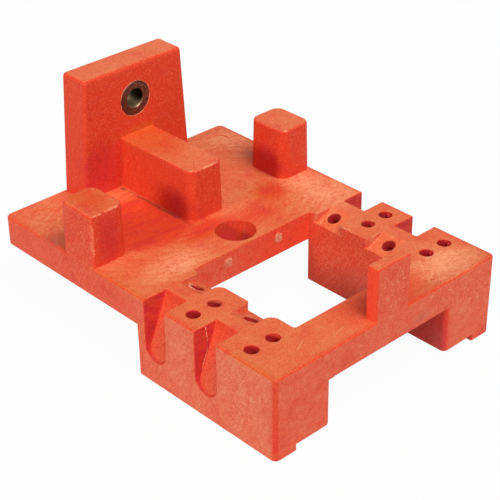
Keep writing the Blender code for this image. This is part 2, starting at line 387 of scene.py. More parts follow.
def boolean(piece, operation, shapes):
    group = bpy.data.collections.new(operation)
    for shape in shapes:
        tool = new_piece("tool", shape)
        scene.collection.objects.unlink(tool)
        group.objects.link(tool)
    step = piece.modifiers.new(operation, "BOOLEAN")
    step.operation = operation
    step.operand_type = "COLLECTION"
    step.collection = group
    graph = bpy.context.evaluated_depsgraph_get()
    result = bpy.data.meshes.new_from_object(piece.evaluated_get(graph))
    piece.modifiers.remove(step)
    for tool in list(group.objects):
        bpy.data.objects.remove(tool)
    bpy.data.collections.remove(group)
    piece.data = result


def plate_blank():
    shape = block(-half_width, half_width, 0, length, -PLATE, 0)
    for side in (-half_width, half_width):
        round_corner(shape, side, 0, FRONT_RADIUS)
        round_corner(shape, side, length, BACK_RADIUS)
    return round_top(shape, 0, PLATE_EDGE)


def guide_block():
    shape = block(WINDOW_SIDE, half_width, 0, BLOCK_BACK, -BLOCK_DEPTH, -PLATE / 2)
    round_corner(shape, WINDOW_SIDE, 0, BLOCK_INNER_RADIUS)
    return round_corner(shape, half_width, 0, FRONT_RADIUS)


def foot_strip():
    shape = block(STRIP_SIDE, half_width, 0, BLOCK_BACK, -plate_top, -BLOCK_DEPTH + PAST)
    return round_corner(shape, half_width, 0, FRONT_RADIUS)


# The mould's draft: what stands on the plate gets narrower all round towards its top
def draw_in(shape, x, y):
    tops = [vert for vert in shape.verts if vert.co.z > 0]
    reach = [max(abs(vert.co[axis] - (x, y)[axis]) for vert in tops) for axis in range(2)]
    narrower = (1 - DRAFT / reach[0], 1 - DRAFT / reach[1], 1)
    bmesh.ops.scale(shape, verts=tops, vec=narrower, space=Matrix.Translation((-x, -y, 0)))
    return shape


def post(outer_front_radius):
    shape = block(POST_SIDE, half_width, STANDING_FRONT, POST_BACK, -PLATE / 2, STANDING_HEIGHT)
    round_corner(shape, POST_SIDE, STANDING_FRONT, POST_RADIUS)
    round_corner(shape, half_width, STANDING_FRONT, outer_front_radius)
    for side in (POST_SIDE, half_width):
        round_corner(shape, side, POST_BACK, POST_RADIUS)
    draw_in(shape, (POST_SIDE + half_width) / 2, (STANDING_FRONT + POST_BACK) / 2)
    return round_top(shape, STANDING_HEIGHT, STANDING_EDGE)


def rib():
    back = (UPRIGHT_FRONT + length) / 2
    shape = block(-RIB_SIDE, RIB_SIDE, STANDING_FRONT, back, -PLATE / 2, STANDING_HEIGHT)
    for side in (-RIB_SIDE, RIB_SIDE):
        round_corner(shape, side, STANDING_FRONT, RIB_RADIUS)
    return round_top(draw_in(shape, 0, back), STANDING_HEIGHT, STANDING_EDGE)


# Its upright and top edges are rounded together, and only its foot stays square
def round_above(shape, radius, segments):
    edges = [edge for edge in shape.edges if max(vert.co.z for vert in edge.verts) > 0]
    return round_edges(shape, edges, radius, segments)


def upright():
    shape = block(-UPRIGHT_FOOT, UPRIGHT_FOOT, UPRIGHT_FRONT, length, -PLATE / 2, UPRIGHT_TOP)
    for vert in shape.verts:
        rise = max(vert.co.z, 0) / UPRIGHT_TOP
        vert.co.x -= math.copysign((UPRIGHT_FOOT - UPRIGHT_HEAD) * rise, vert.co.x)
    return round_above(shape, UPRIGHT_EDGE, 5)


def tab():
    shape = block(-TAB_SIDE, TAB_SIDE, 0, TAB_BACK, -PLATE / 2, STANDING_HEIGHT)
    return round_above(shape, STANDING_EDGE, 4)


def slot(middle):
    centre = Vector((half_width - SLOT_DEPTH / 2, middle, SLOT_HALF - SLOT_FOOT))
    shape = rod(centre, (1, 0, 0), SLOT_HALF, SLOT_DEPTH + 2 * PAST)
    upper = [vert for vert in shape.verts if vert.co.z > centre.z + SAME]
    bmesh.ops.translate(shape, verts=upper, vec=(0, 0, SLOT_FOOT + PAST))
    slope = Vector((-math.cos(GUIDE_ANGLE), 0, -math.sin(GUIDE_ANGLE)))
    return trim(shape, (half_width - SLOT_DEPTH, 0, 0), slope)


# The height of a pocket's slanted floor, at a distance from the template's middle
def pocket_floor(side):
    return (side - POCKET_END) * math.tan(GUIDE_ANGLE)


def pocket(middle):
    front = middle - SLOT_HALF
    back = middle + SLOT_HALF
    before = front - POCKET_RADII[0] - PAST / 10
    behind = back + POCKET_RADII[1] + PAST / 10
    shape = prism([
        (WINDOW_SIDE - PAST, front), (WINDOW_SIDE, before), (WINDOW_SIDE, front), (POCKET_END, front),
        (POCKET_END, back), (WINDOW_SIDE, back), (WINDOW_SIDE, behind), (WINDOW_SIDE - PAST, back)],
        -PLATE, PAST)
    round_corner(shape, WINDOW_SIDE, front, POCKET_RADII[0])
    round_corner(shape, WINDOW_SIDE, back, POCKET_RADII[1], 4)
    down = Vector((math.sin(GUIDE_ANGLE), 0, -math.cos(GUIDE_ANGLE)))
    return trim(shape, (POCKET_END, 0, 0), down)


def pocket_hole(row):
    square_to_floor = (-math.sin(GUIDE_ANGLE), 0, math.cos(GUIDE_ANGLE))
    mouth = (POCKET_HOLE_SIDE, row, pocket_floor(POCKET_HOLE_SIDE))
    return rod(mouth, square_to_floor, HOLE_RADIUS, 3 * BLOCK_DEPTH)


def guide_hole(side, row):
    return rod((side, row, 0), (0, 0, 1), HOLE_RADIUS, 3 * BLOCK_DEPTH)


moulding = new_piece("moulding", plate_blank())
boolean(moulding, "UNION", [
    *both_sides(guide_block()), *both_sides(foot_strip()), post(POST_RADIUS),
    both_sides(post(LEFT_POST_OUTER_RADIUS))[1], rib(), upright(), tab()])

window = block(-WINDOW_SIDE, WINDOW_SIDE, BAR, WINDOW_BACK, -plate_top - PAST, PAST)
for side in (-WINDOW_SIDE, WINDOW_SIDE):
    round_corner(window, side, BAR, WINDOW_RADIUS)
    round_corner(window, side, WINDOW_BACK, WINDOW_RADIUS)
plate_hole = rod((*PLATE_HOLE, 0), (0, 0, 1), PLATE_HOLE_RADIUS, 3 * PLATE, 2 * FINE)
bush_middle = Vector((0, (UPRIGHT_FRONT + length) / 2, BUSH_HEIGHT))
bush_seat = rod(bush_middle, (0, 1, 0), BUSH_SEAT_RADIUS, 3 * PLATE, 2 * FINE)
ejector = rod((*EJECTOR, 0), (0, 0, 1), EJECTOR_RADIUS, 2 * EJECTOR_DEPTH)
cutters = [window, plate_hole, bush_seat, *both_sides(ejector)]
for middle, row in zip(SLOT_MIDDLES, POCKET_HOLE_ROWS):
    cutters += both_sides(slot(middle)) + both_sides(pocket(middle)) + both_sides(pocket_hole(row))
for side in HOLE_SIDES:
    for row in HOLE_ROWS:
        cutters += both_sides(guide_hole(side, row))
boolean(moulding, "DIFFERENCE", cutters)

# Small rounds on the cut edges. The faces are first cut through the middle of each hole,
# so that no face is left with a hole in it for the rounds to run across.
CUT_EDGE = 0.0003
SHARP_FROM = math.radians(35)
FLAT_WITHIN = math.radians(0.5)
BLOCK_UNDERSIDE = -BLOCK_DEPTH + 0.0005
SQUARE_END = 0.0225
POCKET_LIP = pocket_floor(WINDOW_SIDE)
MOUTH_SHARE = 0.4
# Boxes, from corner to corner, in which edges lie too close together for these rounds
TIGHT_PLACES = [((0.0200, 0.1180, -0.0010), (0.0230, 0.1210, 0.0010)),
                ((0.0430, 0.0745, -0.0010), (0.0460, 0.0780, 0.0010)),
                ((0.0239, 0.0323, -0.0005), (0.0246, 0.0331, 0.0005)),
                ((0.0239, 0.0536, -0.0005), (0.0246, 0.0544, 0.0005)),
                ((0.0317, 0.1067, -0.0003), (0.0403, 0.1153, 0.0003))]


# The edges that stay square: under the plate beside the blocks, round the holes under the
# blocks, where a pocket's floor runs into its walls, and in the tight places
def stays_square(edge):
    middle = (edge.verts[0].co + edge.verts[1].co) / 2
    side = abs(middle.x)
    if middle.z < BLOCK_UNDERSIDE:
        in_from_rim = min(side - WINDOW_SIDE, half_width - side, middle.y, BLOCK_BACK - middle.y)
        return in_from_rim > PAST
    if abs(middle.z + PLATE) < CLOSE:
        return not edge.is_convex or side > SQUARE_END
    in_pocket = WINDOW_SIDE - CLOSE < side < POCKET_END and middle.z > POCKET_LIP - CLOSE
    if in_pocket and not edge.is_convex:
        return True
    if in_pocket and abs(middle.z - POCKET_LIP) < CLOSE:
        return min(abs(middle.y - pocket) for pocket in SLOT_MIDDLES) > SLOT_HALF / 2
    here = (side, middle.y, middle.z)
    return any(
        all(low[axis] < here[axis] < high[axis] for axis in range(3)) for low, high in TIGHT_PLACES)


shape = bmesh.new()
shape.from_mesh(moulding.data)
bmesh.ops.remove_doubles(shape, verts=shape.verts, dist=MERGE)
bmesh.ops.dissolve_limit(
    shape, angle_limit=FLAT_WITHIN, use_dissolve_boundaries=False, verts=shape.verts,
    edges=shape.edges)
rows = [*HOLE_ROWS, *SLOT_MIDDLES, PLATE_HOLE[1]]
for middle in SLOT_MIDDLES:
    rows.append(middle - SLOT_HALF - MOUTH_SHARE * POCKET_RADII[0])
    rows.append(middle + SLOT_HALF + MOUTH_SHARE * POCKET_RADII[1])
columns = [0, -SQUARE_END, SQUARE_END]
for side in HOLE_SIDES:
    columns += [-side, side]
cuts = [((0, row, 0), (0, 1, 0)) for row in rows] + [((column, 0, 0), (1, 0, 0)) for column in columns]
for point, normal in cuts:
    parts = shape.verts[:] + shape.edges[:] + shape.faces[:]
    cut = bmesh.ops.bisect_plane(shape, geom=parts, dist=MERGE, plane_co=point, plane_no=normal)
    for part in cut["geom_cut"]:
        if isinstance(part, bmesh.types.BMEdge):
            part.seam = True
bmesh.ops.dissolve_limit(
    shape, angle_limit=FLAT_WITHIN, use_dissolve_boundaries=False, verts=shape.verts,
    edges=shape.edges, delimit={"SEAM"})
weights = shape.edges.layers.float.new("bevel_weight_edge")
for edge in shape.edges:
    if len(edge.link_faces) == 2 and edge.calc_face_angle() > SHARP_FROM:
        edge.smooth = False
        if not stays_square(edge):
            edge[weights] = 1.0
            edge.smooth = True
bmesh.ops.transform(shape, matrix=to_place, verts=shape.verts)
shape.to_mesh(moulding.data)
shape.free()

rounds = moulding.modifiers.new("cut_edges", "BEVEL")
rounds.limit_method = "WEIGHT"
rounds.width = CUT_EDGE
rounds.segments = 2
rounds.use_clamp_overlap = False
rounds.miter_outer = "MITER_ARC"
flats = moulding.modifiers.new("flat_faces", "WEIGHTED_NORMAL")
flats.mode = "FACE_AREA"
flats.weight = 80
flats.keep_sharp = True

# Its colour: deep orange under a pale sheen, a painted reflection of the white room. The sheen is
# thick on the outside faces and on the tops, thin on the rounds, and gone where shade is painted between
# the posts and the rib. Places are in the moulding's own frame. A spot is a centre, the radii to its rim,
# and how far out it is full.
ORANGE = (0.77, 0.055, 0.017, 1)
# Colours of the painted sheen, paler on the tops than on the sides
TOP_SHEEN_COLOUR = (0.82, 0.290, 0.112, 1)
SIDE_SHEEN_COLOUR = (0.85, 0.280, 0.145, 1)
LIT_RED = (0.98, 0.080, 0.035, 1)
DEEP_RED_AND_SHADE = (0.55, 0.022, 0.046, 1)
GREYED_RED = (0.36, 0.140, 0.110, 1)
GRIME_AND_SHADE = (0.13, 0.045, 0.020, 1)
HOLE_SHADE_RED = (0.52, 0.018, 0.026, 1)
AMBER = (0.73, 0.088, 0.012, 1)
CHALK = (1.00, 0.355, 0.180, 1)
TOP_SHEEN = 0.43
CHALK_BLOOM = 0.57
WORN_BLOOM = 0.30
SWIRL_BLOOM = 0.75
SCRATCH_BLOOM = 0.45
FRONT_SHEEN = 0.31
WINDOW_SHEEN = 0.30
LEFT_SHEEN = (0.20, 0.30)
INSIDE_SHEEN = 0.14
POCKET_SHEEN = 0.4
SLOT_LIGHT = 0.14
OTHER_SHEEN = 0.30
HIGHLIGHT_WAY = (-0.22, -0.67, 0.71)
BORE_REACH = (0.0029, 0.0029, 1.0)
RELIEF = 0.00018

# Where a point lies, and which way its face looks
plastic = Finish("orange_plastic")
plastic.place = plastic.moved(Location=(0, cad_low[1], plate_top))
across, along, up = plastic.parts(plastic.place)
turned = plastic.node("ShaderNodeNewGeometry", output="Normal")
right_facing, back_facing, up_facing = plastic.parts(turned)
on_top = up_facing.smooth(0.70, 0.99)
on_left = right_facing.smooth(-0.90, -0.9990)
on_front = back_facing.smooth(-0.90, -0.9990)
on_right = right_facing.smooth(0.70, 0.99)
on_back = back_facing.smooth(0.70, 0.99)
standing = up.smooth(0.0002, 0.0012)

# Grains, clouds, streaks drawn along the plate, rings round the rib, and thin curls
grain = plastic.noise(0.00045, 2.0, 0.6)
mottle = plastic.noise(0.0014, 3.0, 0.65, 0.3)
clouds = plastic.noise(0.0090, 3.0, 0.55, 0.5)
drawn = plastic.noise(0.0018, 3.0, 0.60, 0.8, Rotation=(0, 0, -0.12), Scale=(6.0, 1.0, 3.0))
round_rib = plastic.moved(Location=(-0.0020, 0.0830, 0), Scale=(1.5, 1.0, 1.0))
ring_x, ring_y, ring_z = plastic.parts(round_rib)
ring_size = plastic.node("ShaderNodeVectorMath", {"operation": "LENGTH"}, {0: round_rib}, "Value")
ring_turn = ring_x.maths("ARCTAN2", ring_y) * 0.0030
ring_place = plastic.node("ShaderNodeCombineXYZ", None, {0: ring_size, 1: ring_turn, 2: ring_z})
ringed = plastic.node("ShaderNodeTexNoise", None, {
    "Vector": ring_place, "Scale": 900.0, "Detail": 3.0, "Roughness": 0.6, "Distortion": 0.4})
swept = plastic.noise(0.0010, 2.0, 0.60, 0.30, Rotation=(0.5, 0, 0), Scale=(3.0, 1.0, 6.0))
curls = plastic.noise(0.0045, 1.0, 0.5, 1.2).lines(0.018, 0.004)
hairs = curls * mottle.smooth(0.45, 0.65)
loops = plastic.noise(0.0036, 0.0, 0.5, 2.2).lines(0.040, 0.012)

# Painted shade on the plate left of the rib, before it, and before the right post: no sheen there, and
# deeper red
plate_shade = plastic.spots([
    ((-0.0170, 0.0860, 0), (0.0230, 0.0180, 0.0020), 0.62),
    ((-0.0060, 0.0700, 0), (0.0150, 0.0070, 0.0020), 0.2),
    ((0.0240, 0.0730, 0), (0.0110, 0.0070, 0.0020), 0.1)])
# Worn thin on the rib's rear, the left post's top, beside the plate's hole and on the bar
worn = plastic.spots([
    ((0, 0.1060, 0.0170), (0.0140, 0.0240, 0.0020), 0.3),
    ((-0.0385, 0.0860, 0.0170), (0.0080, 0.0120, 0.0020), 0.3),
    ((0.0100, 0.0660, 0), (0.0140, 0.0080, 0.0020), 0.2),
    ((0.0030, 0.0075, 0), (0.0250, 0.0110, 0.0020), 0.3)])
# Chalky behind both blocks, at the bar's right end and round the right post
chalky = plastic.spots([
    ((0.0385, 0.0600, 0), (0.0180, 0.0150, 0.0020), 0),
    ((0.0310, 0.0070, 0), (0.0170, 0.0130, 0.0020), 0.2),
    ((0.0400, 0.1080, 0), (0.0110, 0.0130, 0.0020), 0),
    ((0.0360, 0.0720, 0), (0.0100, 0.0120, 0.0020), 0.1),
    ((-0.0260, 0.0610, 0), (0.0180, 0.0080, 0.0020), 0.1)])
broken = 0.50 + drawn.smooth(0.34, 0.66) * 0.25 + mottle.smooth(0.34, 0.66) * 0.20 + loops * 0.25
chalky = chalky * broken
# Swirled on the right block and behind it, on the tab's front and the plate's left side
swirled = plastic.spots([
    ((0.0300, 0.0070, 0), (0.0150, 0.0110, 0.0020), 0.3),
    ((0.0330, 0, -0.0080), (0.0130, 0.0020, 0.0090), 0.3),
    ((0, 0, 0.0080), (0.0070, 0.0020, 0.0100), 0.5),
    ((-0.0360, 0.1050, 0), (0.0100, 0.0140, 0.0020), 0.3),
    ((-0.0450, 0.0130, -0.0130), (0.0020, 0.0100, 0.0110), 0.3),
    ((0.0300, 0.0630, 0), (0.0140, 0.0100, 0.0020), 0.3)])
swirled = swirled * loops * mottle.smooth(0.35, 0.60)

# How thick the painted sheen is on each kind of face, as the lamps and the room would light it, and thinner
# on the worn rim
tops = on_top * (TOP_SHEEN + chalky * CHALK_BLOOM - worn * WORN_BLOOM - plate_shade * TOP_SHEEN)
fronts = on_front * (along.smooth(0.0060, 0.0030) * (1 - standing * 0.35) * FRONT_SHEEN + standing * 0.03)
window_lit = on_front * along.smooth(0.0535, 0.0545) * along.smooth(0.0565, 0.0560)
window_wall = window_lit * across.smooth(0.0150, -0.0180)
outside_left = on_left * across.smooth(-0.0370, -0.0410) * (1 - standing * 0.45)
lefts = outside_left * (along.smooth(0.0750, 0.0300) * LEFT_SHEEN[1] + LEFT_SHEEN[0])
inside_left = on_left * across.smooth(0.0180, 0.0230) * (1 - standing) * INSIDE_SHEEN
from_middle = across.maths("ABSOLUTE")
beside_window = from_middle.smooth(0.0240, 0.0243) * from_middle.smooth(0.0322, 0.0318) * (1 - standing)
by_pockets = beside_window * along.smooth(0.0180, 0.0200) * along.smooth(0.0570, 0.0560)
by_pockets = by_pockets * up.smooth(-0.0042, -0.0036)
pocket_walls = (1 - on_top) * by_pockets * POCKET_SHEEN
# Painted shade on the blocks' round outer front corners: a deeper amber band
shaded_corners = from_middle.smooth(0.0428, 0.0440) * along.smooth(0.0036, 0.0010) * (1 - on_front)
shaded_corners = shaded_corners * (1 - on_left * 0.3) * (0.5 + mottle)
rim_wear = (half_width - from_middle).smooth(0.0024, 0.0004).maths("MAXIMUM", along.smooth(0.0020, 0.0004))
rim_wear = rim_wear * on_top * (1 - standing) * (0.3 + mottle)
sheen_and_marks = tops + fronts + window_wall * WINDOW_SHEEN + lefts + inside_left + (on_right + on_back) * OTHER_SHEEN
sheen_and_marks = (sheen_and_marks + pocket_walls) * (1 + clouds.sway(1.2) + mottle.sway(1.0)) * (1 - rim_wear * 0.5)

# Streaks in it, painted light on the slots' slanted floors, and painted highlights on the edges that face
# the front lamp
plate_top_only = on_top * (1 - standing) * along.smooth(0.0500, 0.0560)
streaked = on_top * (drawn.sway(0.35) + hairs * 0.22) + plate_top_only * ringed.sway(0.95)
streaked = streaked + (on_left + on_front) * (swept.sway(0.7) + hairs * 0.45)
slanted = right_facing.maths("ABSOLUTE")
slot_floors = slanted.smooth(0.88, 0.91) * slanted.smooth(0.955, 0.935) * up.smooth(0.0010, -0.0060)
slot_floors = slot_floors * SLOT_LIGHT
sheen_and_marks = sheen_and_marks + slot_floors * (0.6 + mottle)
sheen_and_marks = sheen_and_marks + streaked * (0.45 + sheen_and_marks) + grain.sway(1.4)
highlight_facing = plastic.node("ShaderNodeVectorMath", {"operation": "DOT_PRODUCT"},
                        {0: turned, 1: HIGHLIGHT_WAY}, "Value").smooth(0.88, 0.96)
painted_highlight = across.smooth(0.0120, 0.0100)
painted_highlight = painted_highlight.maths("MAXIMUM", plastic.spot((0.0332, 0.0765, 0.0170), (0.0016, 0.0020, 0.0020)))
painted_highlight = highlight_facing * painted_highlight * along.smooth(0.0600, 0.0700) * along.smooth(0.1080, 0.1060)
sheen_and_marks = sheen_and_marks + painted_highlight * up.smooth(0.0150, 0.0160) * mottle.smooth(0.40, 0.56) * 1.1
# A painted highlight down the left post's outer front corner
corner_highlight = plastic.spot((-0.0443, 0.0761, 0.0085), (0.0008, 0.0008, 0.0095), 0.5)
sheen_and_marks = sheen_and_marks + corner_highlight * mottle.smooth(0.26, 0.66) * 0.6

# Light scratches: on the bar's front, on the bar, and on the blocks. The last value is a turn.
scratches = plastic.spots([
    ((-0.0122, 0, -0.0047), (0.0016, 0.0010, 0.0002), 0.3, (0, 0.5, 0)),
    ((-0.0088, 0, -0.0077), (0.0022, 0.0010, 0.0002), 0.3, (0, -0.7, 0)),
    ((-0.0129, 0, -0.0064), (0.0014, 0.0010, 0.0002), 0.3, (0, 0.2, 0)),
    ((0.0227, 0, -0.0057), (0.0026, 0.0010, 0.0003), 0.3, (0, 0.9, 0)),
    ((0.0256, 0, -0.0036), (0.0024, 0.0010, 0.0002), 0.3, (0, 0.5, 0)),
    ((-0.0287, 0.0073, 0), (0.0040, 0.0003, 0.0010), 0.3, (0, 0, 0.5)),
    ((-0.0160, 0.0048, 0), (0.0050, 0.0003, 0.0010), 0.3, (0, 0, 0.2)),
    ((-0.0305, 0.0314, 0), (0.0030, 0.0003, 0.0010), 0.3, (0, 0, -0.3)),
    ((0.0270, 0.0320, 0), (0.0052, 0.0004, 0.0030), 0.3, (0, 0, 0.2)),
    ((0.0253, 0.0520, 0), (0.0024, 0.0004, 0.0030), 0.3, (0, 0, 0.3)),
    ((0.0237, 0.0444, 0), (0.0005, 0.0036, 0.0010), 0.3, (0, 0, -0.2)),
    ((0.0296, 0.0092, 0), (0.0030, 0.0004, 0.0010), 0.3, (0, 0, 0.9)),
    ((0.0302, 0.0041, 0), (0.0040, 0.0004, 0.0010), 0.3, (0, 0, -0.6)),
    ((0.0215, 0.0050, 0), (0.0034, 0.0004, 0.0010), 0.3, (0, 0, 0.4))])
sheen_and_marks = sheen_and_marks + scratches * SCRATCH_BLOOM + swirled * SWIRL_BLOOM

# Painted light: redder on the window's lit back wall and beside the tab. Amber where the wear is
lit_beside_tab = plastic.spot((-TAB_SIDE, TAB_BACK / 2, 0.0085), (0.0010, 0.0060, 0.0120), 0.5) * on_left
colour = plastic.mix(window_lit * 0.9 + lit_beside_tab * 0.7, ORANGE, LIT_RED)
sheen_and_chalk_colour = plastic.mix(on_top, SIDE_SHEEN_COLOUR, TOP_SHEEN_COLOUR)
sheen_and_chalk_colour = plastic.mix(chalky, sheen_and_chalk_colour, CHALK)
amber = plastic.spots([
    ((0, 0.1080, 0.0170), (0.0140, 0.0260, 0.0030), 0.3),
    ((-0.0385, 0.0850, 0.0170), (0.0080, 0.0110, 0.0030), 0.3),
    ((-0.0450, 0.0620, 0), (0.0030, 0.0280, 0.0020), 0.3),
    ((-0.0070, 0.0660, 0), (0.0120, 0.0060, 0.0020), 0.2),
    ((0.0180, 0.0760, 0), (0.0120, 0.0090, 0.0020), 0.2),
    ((-0.0450, 0.0100, 0), (0.0040, 0.0200, 0.0020), 0.3)])
# Painted shade on the round corners, in amber
amber = amber + shaded_corners * 0.8
colour = plastic.mix(amber * clouds.smooth(0.35, 0.60), colour, AMBER)
colour = plastic.mix(sheen_and_marks, colour, sheen_and_chalk_colour)

# Painted shade in deeper red: low on the upright, posts and rib, inside the right block, in the plate's
# hole and in the slots; and deeper red in blotches where the sheen is thin
shaded = plastic.spots([
    ((-0.0150, 0.1090, 0.0080), (0.0120, 0.0020, 0.0140), 0.2),
    ((0.0315, 0.0835, 0.0040), (0.0020, 0.0075, 0.0090), 0.4),
    ((0.0240, 0.0050, -0.0190), (0.0020, 0.0120, 0.0100), 0.4),
    ((-0.0071, 0.0830, 0.0040), (0.0020, 0.0070, 0.0080), 0.2),
    ((-0.0385, 0.0755, 0.0080), (0.0060, 0.0020, 0.0130), 0.2),
    ((0.0010, 0.0690, -0.0060), (0.0050, 0.0030, 0.0060), 0.2),
    ((0.0055, 0.0650, -0.0070), (0.0016, 0.0030, 0.0060), 0.2)])
from_first, from_second = [(along - middle).maths("ABSOLUTE") for middle in SLOT_MIDDLES]
from_slot = from_first.maths("MINIMUM", from_second)
in_slots = slanted.smooth(0.6, 0.4) * from_slot.smooth(0.0047, 0.0044) * from_middle.smooth(0.0350, 0.0365)
in_slots = in_slots * up.smooth(0, -0.0010)
deep_red_and_shade = shaded * 0.50 + plate_shade * on_top * drawn.smooth(0.56, 0.40) * 0.25 + grain.smooth(0.44, 0.30) * 0.14
deep_red_and_shade = deep_red_and_shade + mottle.smooth(0.48, 0.32) * (1 - sheen_and_marks) * 0.22 + clouds.smooth(0.42, 0.30) * 0.15
deep_red_and_shade = deep_red_and_shade + in_slots * (0.24 + swept.smooth(0.62, 0.38) * 0.40) + shaded_corners * 0.25
colour = plastic.mix(deep_red_and_shade, colour, DEEP_RED_AND_SHADE)

# Painted shade: dark red in the guide holes, from just under the top or the pocket's floor
bores = [((side * hand, row, 0), BORE_REACH, 0.8)
         for side in HOLE_SIDES for row in HOLE_ROWS for hand in (-1, 1)]
bores += [((hand * POCKET_HOLE_SIDE, row, -0.0014), BORE_REACH, 0.8, (0, -hand * GUIDE_ANGLE, 0))
          for hand in (-1, 1) for row in POCKET_HOLE_ROWS]
under_top = up + (POCKET_END - from_middle).maths("MAXIMUM", 0) * math.tan(GUIDE_ANGLE)
in_holes = plastic.spots(bores) * under_top.smooth(-0.0001, -0.0008) * from_middle.smooth(0.0243, 0.0246)
in_holes = in_holes * from_middle.smooth(half_width, half_width - 0.0010)
colour = plastic.mix(in_holes * 0.9, colour, HOLE_SHADE_RED)

# Painted shadows, greyed: on the plate behind the posts and low inside the right block, and a grey patch on
# the bar's front right of the tab
greyed = plastic.spots([
    ((0.0370, 0.0970, 0), (0.0042, 0.0040, 0.0020), 0.1),
    ((-0.0435, 0.0965, 0), (0.0070, 0.0070, 0.0020), 0.1),
    ((0.0128, 0, -0.0069), (0.0050, 0.0010, 0.0030), 0.1),
    ((0.0240, 0.0250, -0.0200), (0.0010, 0.0300, 0.0140), 0.2),
    ((0.0240, 0.0020, -0.0230), (0.0010, 0.0100, 0.0100), 0.2)])
colour = plastic.mix(greyed * (0.25 + mottle.sway(0.8)), colour, GREYED_RED)
# Dirt along the rib's left foot and on the upright, and painted shade just inside the rims of five holes
dirt_and_shade = plastic.spots([
    ((-0.0077, 0.0900, 0), (0.0011, 0.0200, 0.0006), 0.2),
    ((-0.0080, 0.0997, 0), (0.0008, 0.0009, 0.0010), 0.4),
    ((-0.0082, 0.1072, 0), (0.0012, 0.0022, 0.0010), 0.2),
    ((-0.0153, 0.1090, 0.0123), (0.0004, 0.0005, 0.0004), 0.4)])
# Painted shade just inside the rims of five holes
hole_shade = plastic.spots([
    ((0.0304, 0.0402, -0.0008), (0.0014, 0.0012, 0.0030), 0.5),
    ((0.0384, 0.0402, -0.0008), (0.0014, 0.0012, 0.0030), 0.5),
    ((0.0305, 0.0168, -0.0008), (0.0012, 0.0011, 0.0020), 0.5),
    ((0.0385, 0.0168, -0.0008), (0.0012, 0.0011, 0.0020), 0.5),
    ((0.0272, 0.0513, -0.0018), (0.0014, 0.0012, 0.0024), 0.5)])
dirt_and_shade = dirt_and_shade + hole_shade * under_top.smooth(-0.0002, -0.0006)
colour = plastic.mix(dirt_and_shade * grain.smooth(0.34, 0.56) * 0.80, colour, GRIME_AND_SHADE)

# Slightly uneven, and duller where the clouds are thin
ripple = grain * 0.5 + mottle + swept * 0.4
bump = plastic.node("ShaderNodeBump", None, {"Strength": 0.40, "Distance": RELIEF, "Height": ripple})
roughness = 0.56 - 0.14 * clouds
moulding.data.materials.clear()
moulding.data.materials.append(plastic.finish(
    Base_Color=colour, Roughness=roughness, Normal=bump, Specular_IOR_Level=0.12))
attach(moulding, "root")
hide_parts("template_body")

# Raised marks: rings where ejector pins met the plate, the fillet round the rib's foot, and
# torn plastic in the guide holes. They are the moulding's own plastic, so look the same.
LEVEL = ((1, 0, 0), (0, 1, 0))
FRONTAL = ((1, 0, 0), (0, 0, 1))
SUNK = -0.00004
PIN_RINGS = [(-0.0250, 0.0665, 1.9, 4.6), (0.0250, 0.0665, 0.3, 2.6), (-0.0170, 0.0930, 2.6, 5.2),
             (0.0243, 0.0935, 0.2, 3.0)]
PIN_RADIUS = 0.0040
FILLET = 0.00022
FILLET_BACK = 0.0850
TORN_BITS = [(0.0412, 0.0386), (0.0331, 0.0379), (0.0412, 0.0146), (0.0332, 0.0148)]
TORN_SIZE = (0.0009, 0.0007, 0.0013)
pick = random.Random(11)


# A thin round thread through points, with a radius at each of them
def thread(shape, points, radii, sides=6):
    rings = []
    for index, point in enumerate(points):
        before, after = points[max(index - 1, 0)], points[min(index + 1, len(points) - 1)]
        turn = (after - before).to_track_quat("Z", "Y")
        rings.append([
            shape.verts.new(point + turn @ Vector((math.cos(angle), math.sin(angle), 0)) * radii[index])
            for angle in [2 * math.pi * side / sides for side in range(sides)]])
    for ring, following in zip(rings, rings[1:]):
        for side in range(sides):
            other = (side + 1) % sides
            shape.faces.new([ring[side], ring[other], following[other], following[side]])
    shape.faces.new(rings[0][::-1])
    shape.faces.new(rings[-1])


# Points of an arc about a centre, in the plane of two directions, from one angle to another
def arc(centre, plane, radius, start, end, steps=24):
    first, second = plane
    angles = [start + (end - start) * step / steps for step in range(steps + 1)]
    return [Vector(centre) + radius * (math.cos(angle) * Vector(first) + math.sin(angle) * Vector(second))
            for angle in angles]


# Thick in its middle, fading towards its ends, and a little uneven
def fading(points, radius, uneven=0.3):
    last = len(points) - 1
    return [radius * (0.25 + 0.75 * math.sin(math.pi * index / last)) * pick.uniform(1 - uneven, 1)
            for index in range(len(points))]


def stretched(place, size):
    return [value * times for value, times in zip(place, size)]


def finished(name, shape, material):
    bmesh.ops.transform(shape, matrix=to_place, verts=shape.verts)
    for face in shape.faces:
        face.smooth = True
    piece = new_piece(name, shape)
    piece.data.materials.append(material)
    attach(piece, "root")


marks = bmesh.new()
for side in (-1, 1):
    ring = arc((side * EJECTOR[0], EJECTOR[1], SUNK), LEVEL, EJECTOR_RADIUS, 0, 2 * math.pi, 48)
    thread(marks, ring, [0.00009] * len(ring))
for x, y, start, end in PIN_RINGS:
    ring = arc((x, y, SUNK), LEVEL, PIN_RADIUS, start, end)
    thread(marks, ring, fading(ring, 0.00010))
foot = [Vector((-RIB_SIDE, FILLET_BACK, 0))]
for side, start in ((-1, math.pi), (1, 1.5 * math.pi)):
    corner = (side * (RIB_SIDE - RIB_RADIUS), STANDING_FRONT + RIB_RADIUS, 0)
    foot += arc(corner, LEVEL, RIB_RADIUS, start, start + math.pi / 2, 8)
foot.append(Vector((RIB_SIDE, FILLET_BACK, 0)))
thread(marks, foot, [FILLET] * len(foot))
for x, y in TORN_BITS:
    bit = bmesh.ops.create_icosphere(marks, subdivisions=2, radius=1)["verts"]
    for vert in bit:
        vert.co = Vector(stretched(vert.co, TORN_SIZE)) * pick.uniform(0.5, 1)
    bmesh.ops.translate(marks, verts=bit, vec=(x + 0.0003, y, -0.0016))
finished("pin_marks", marks, plastic.material)
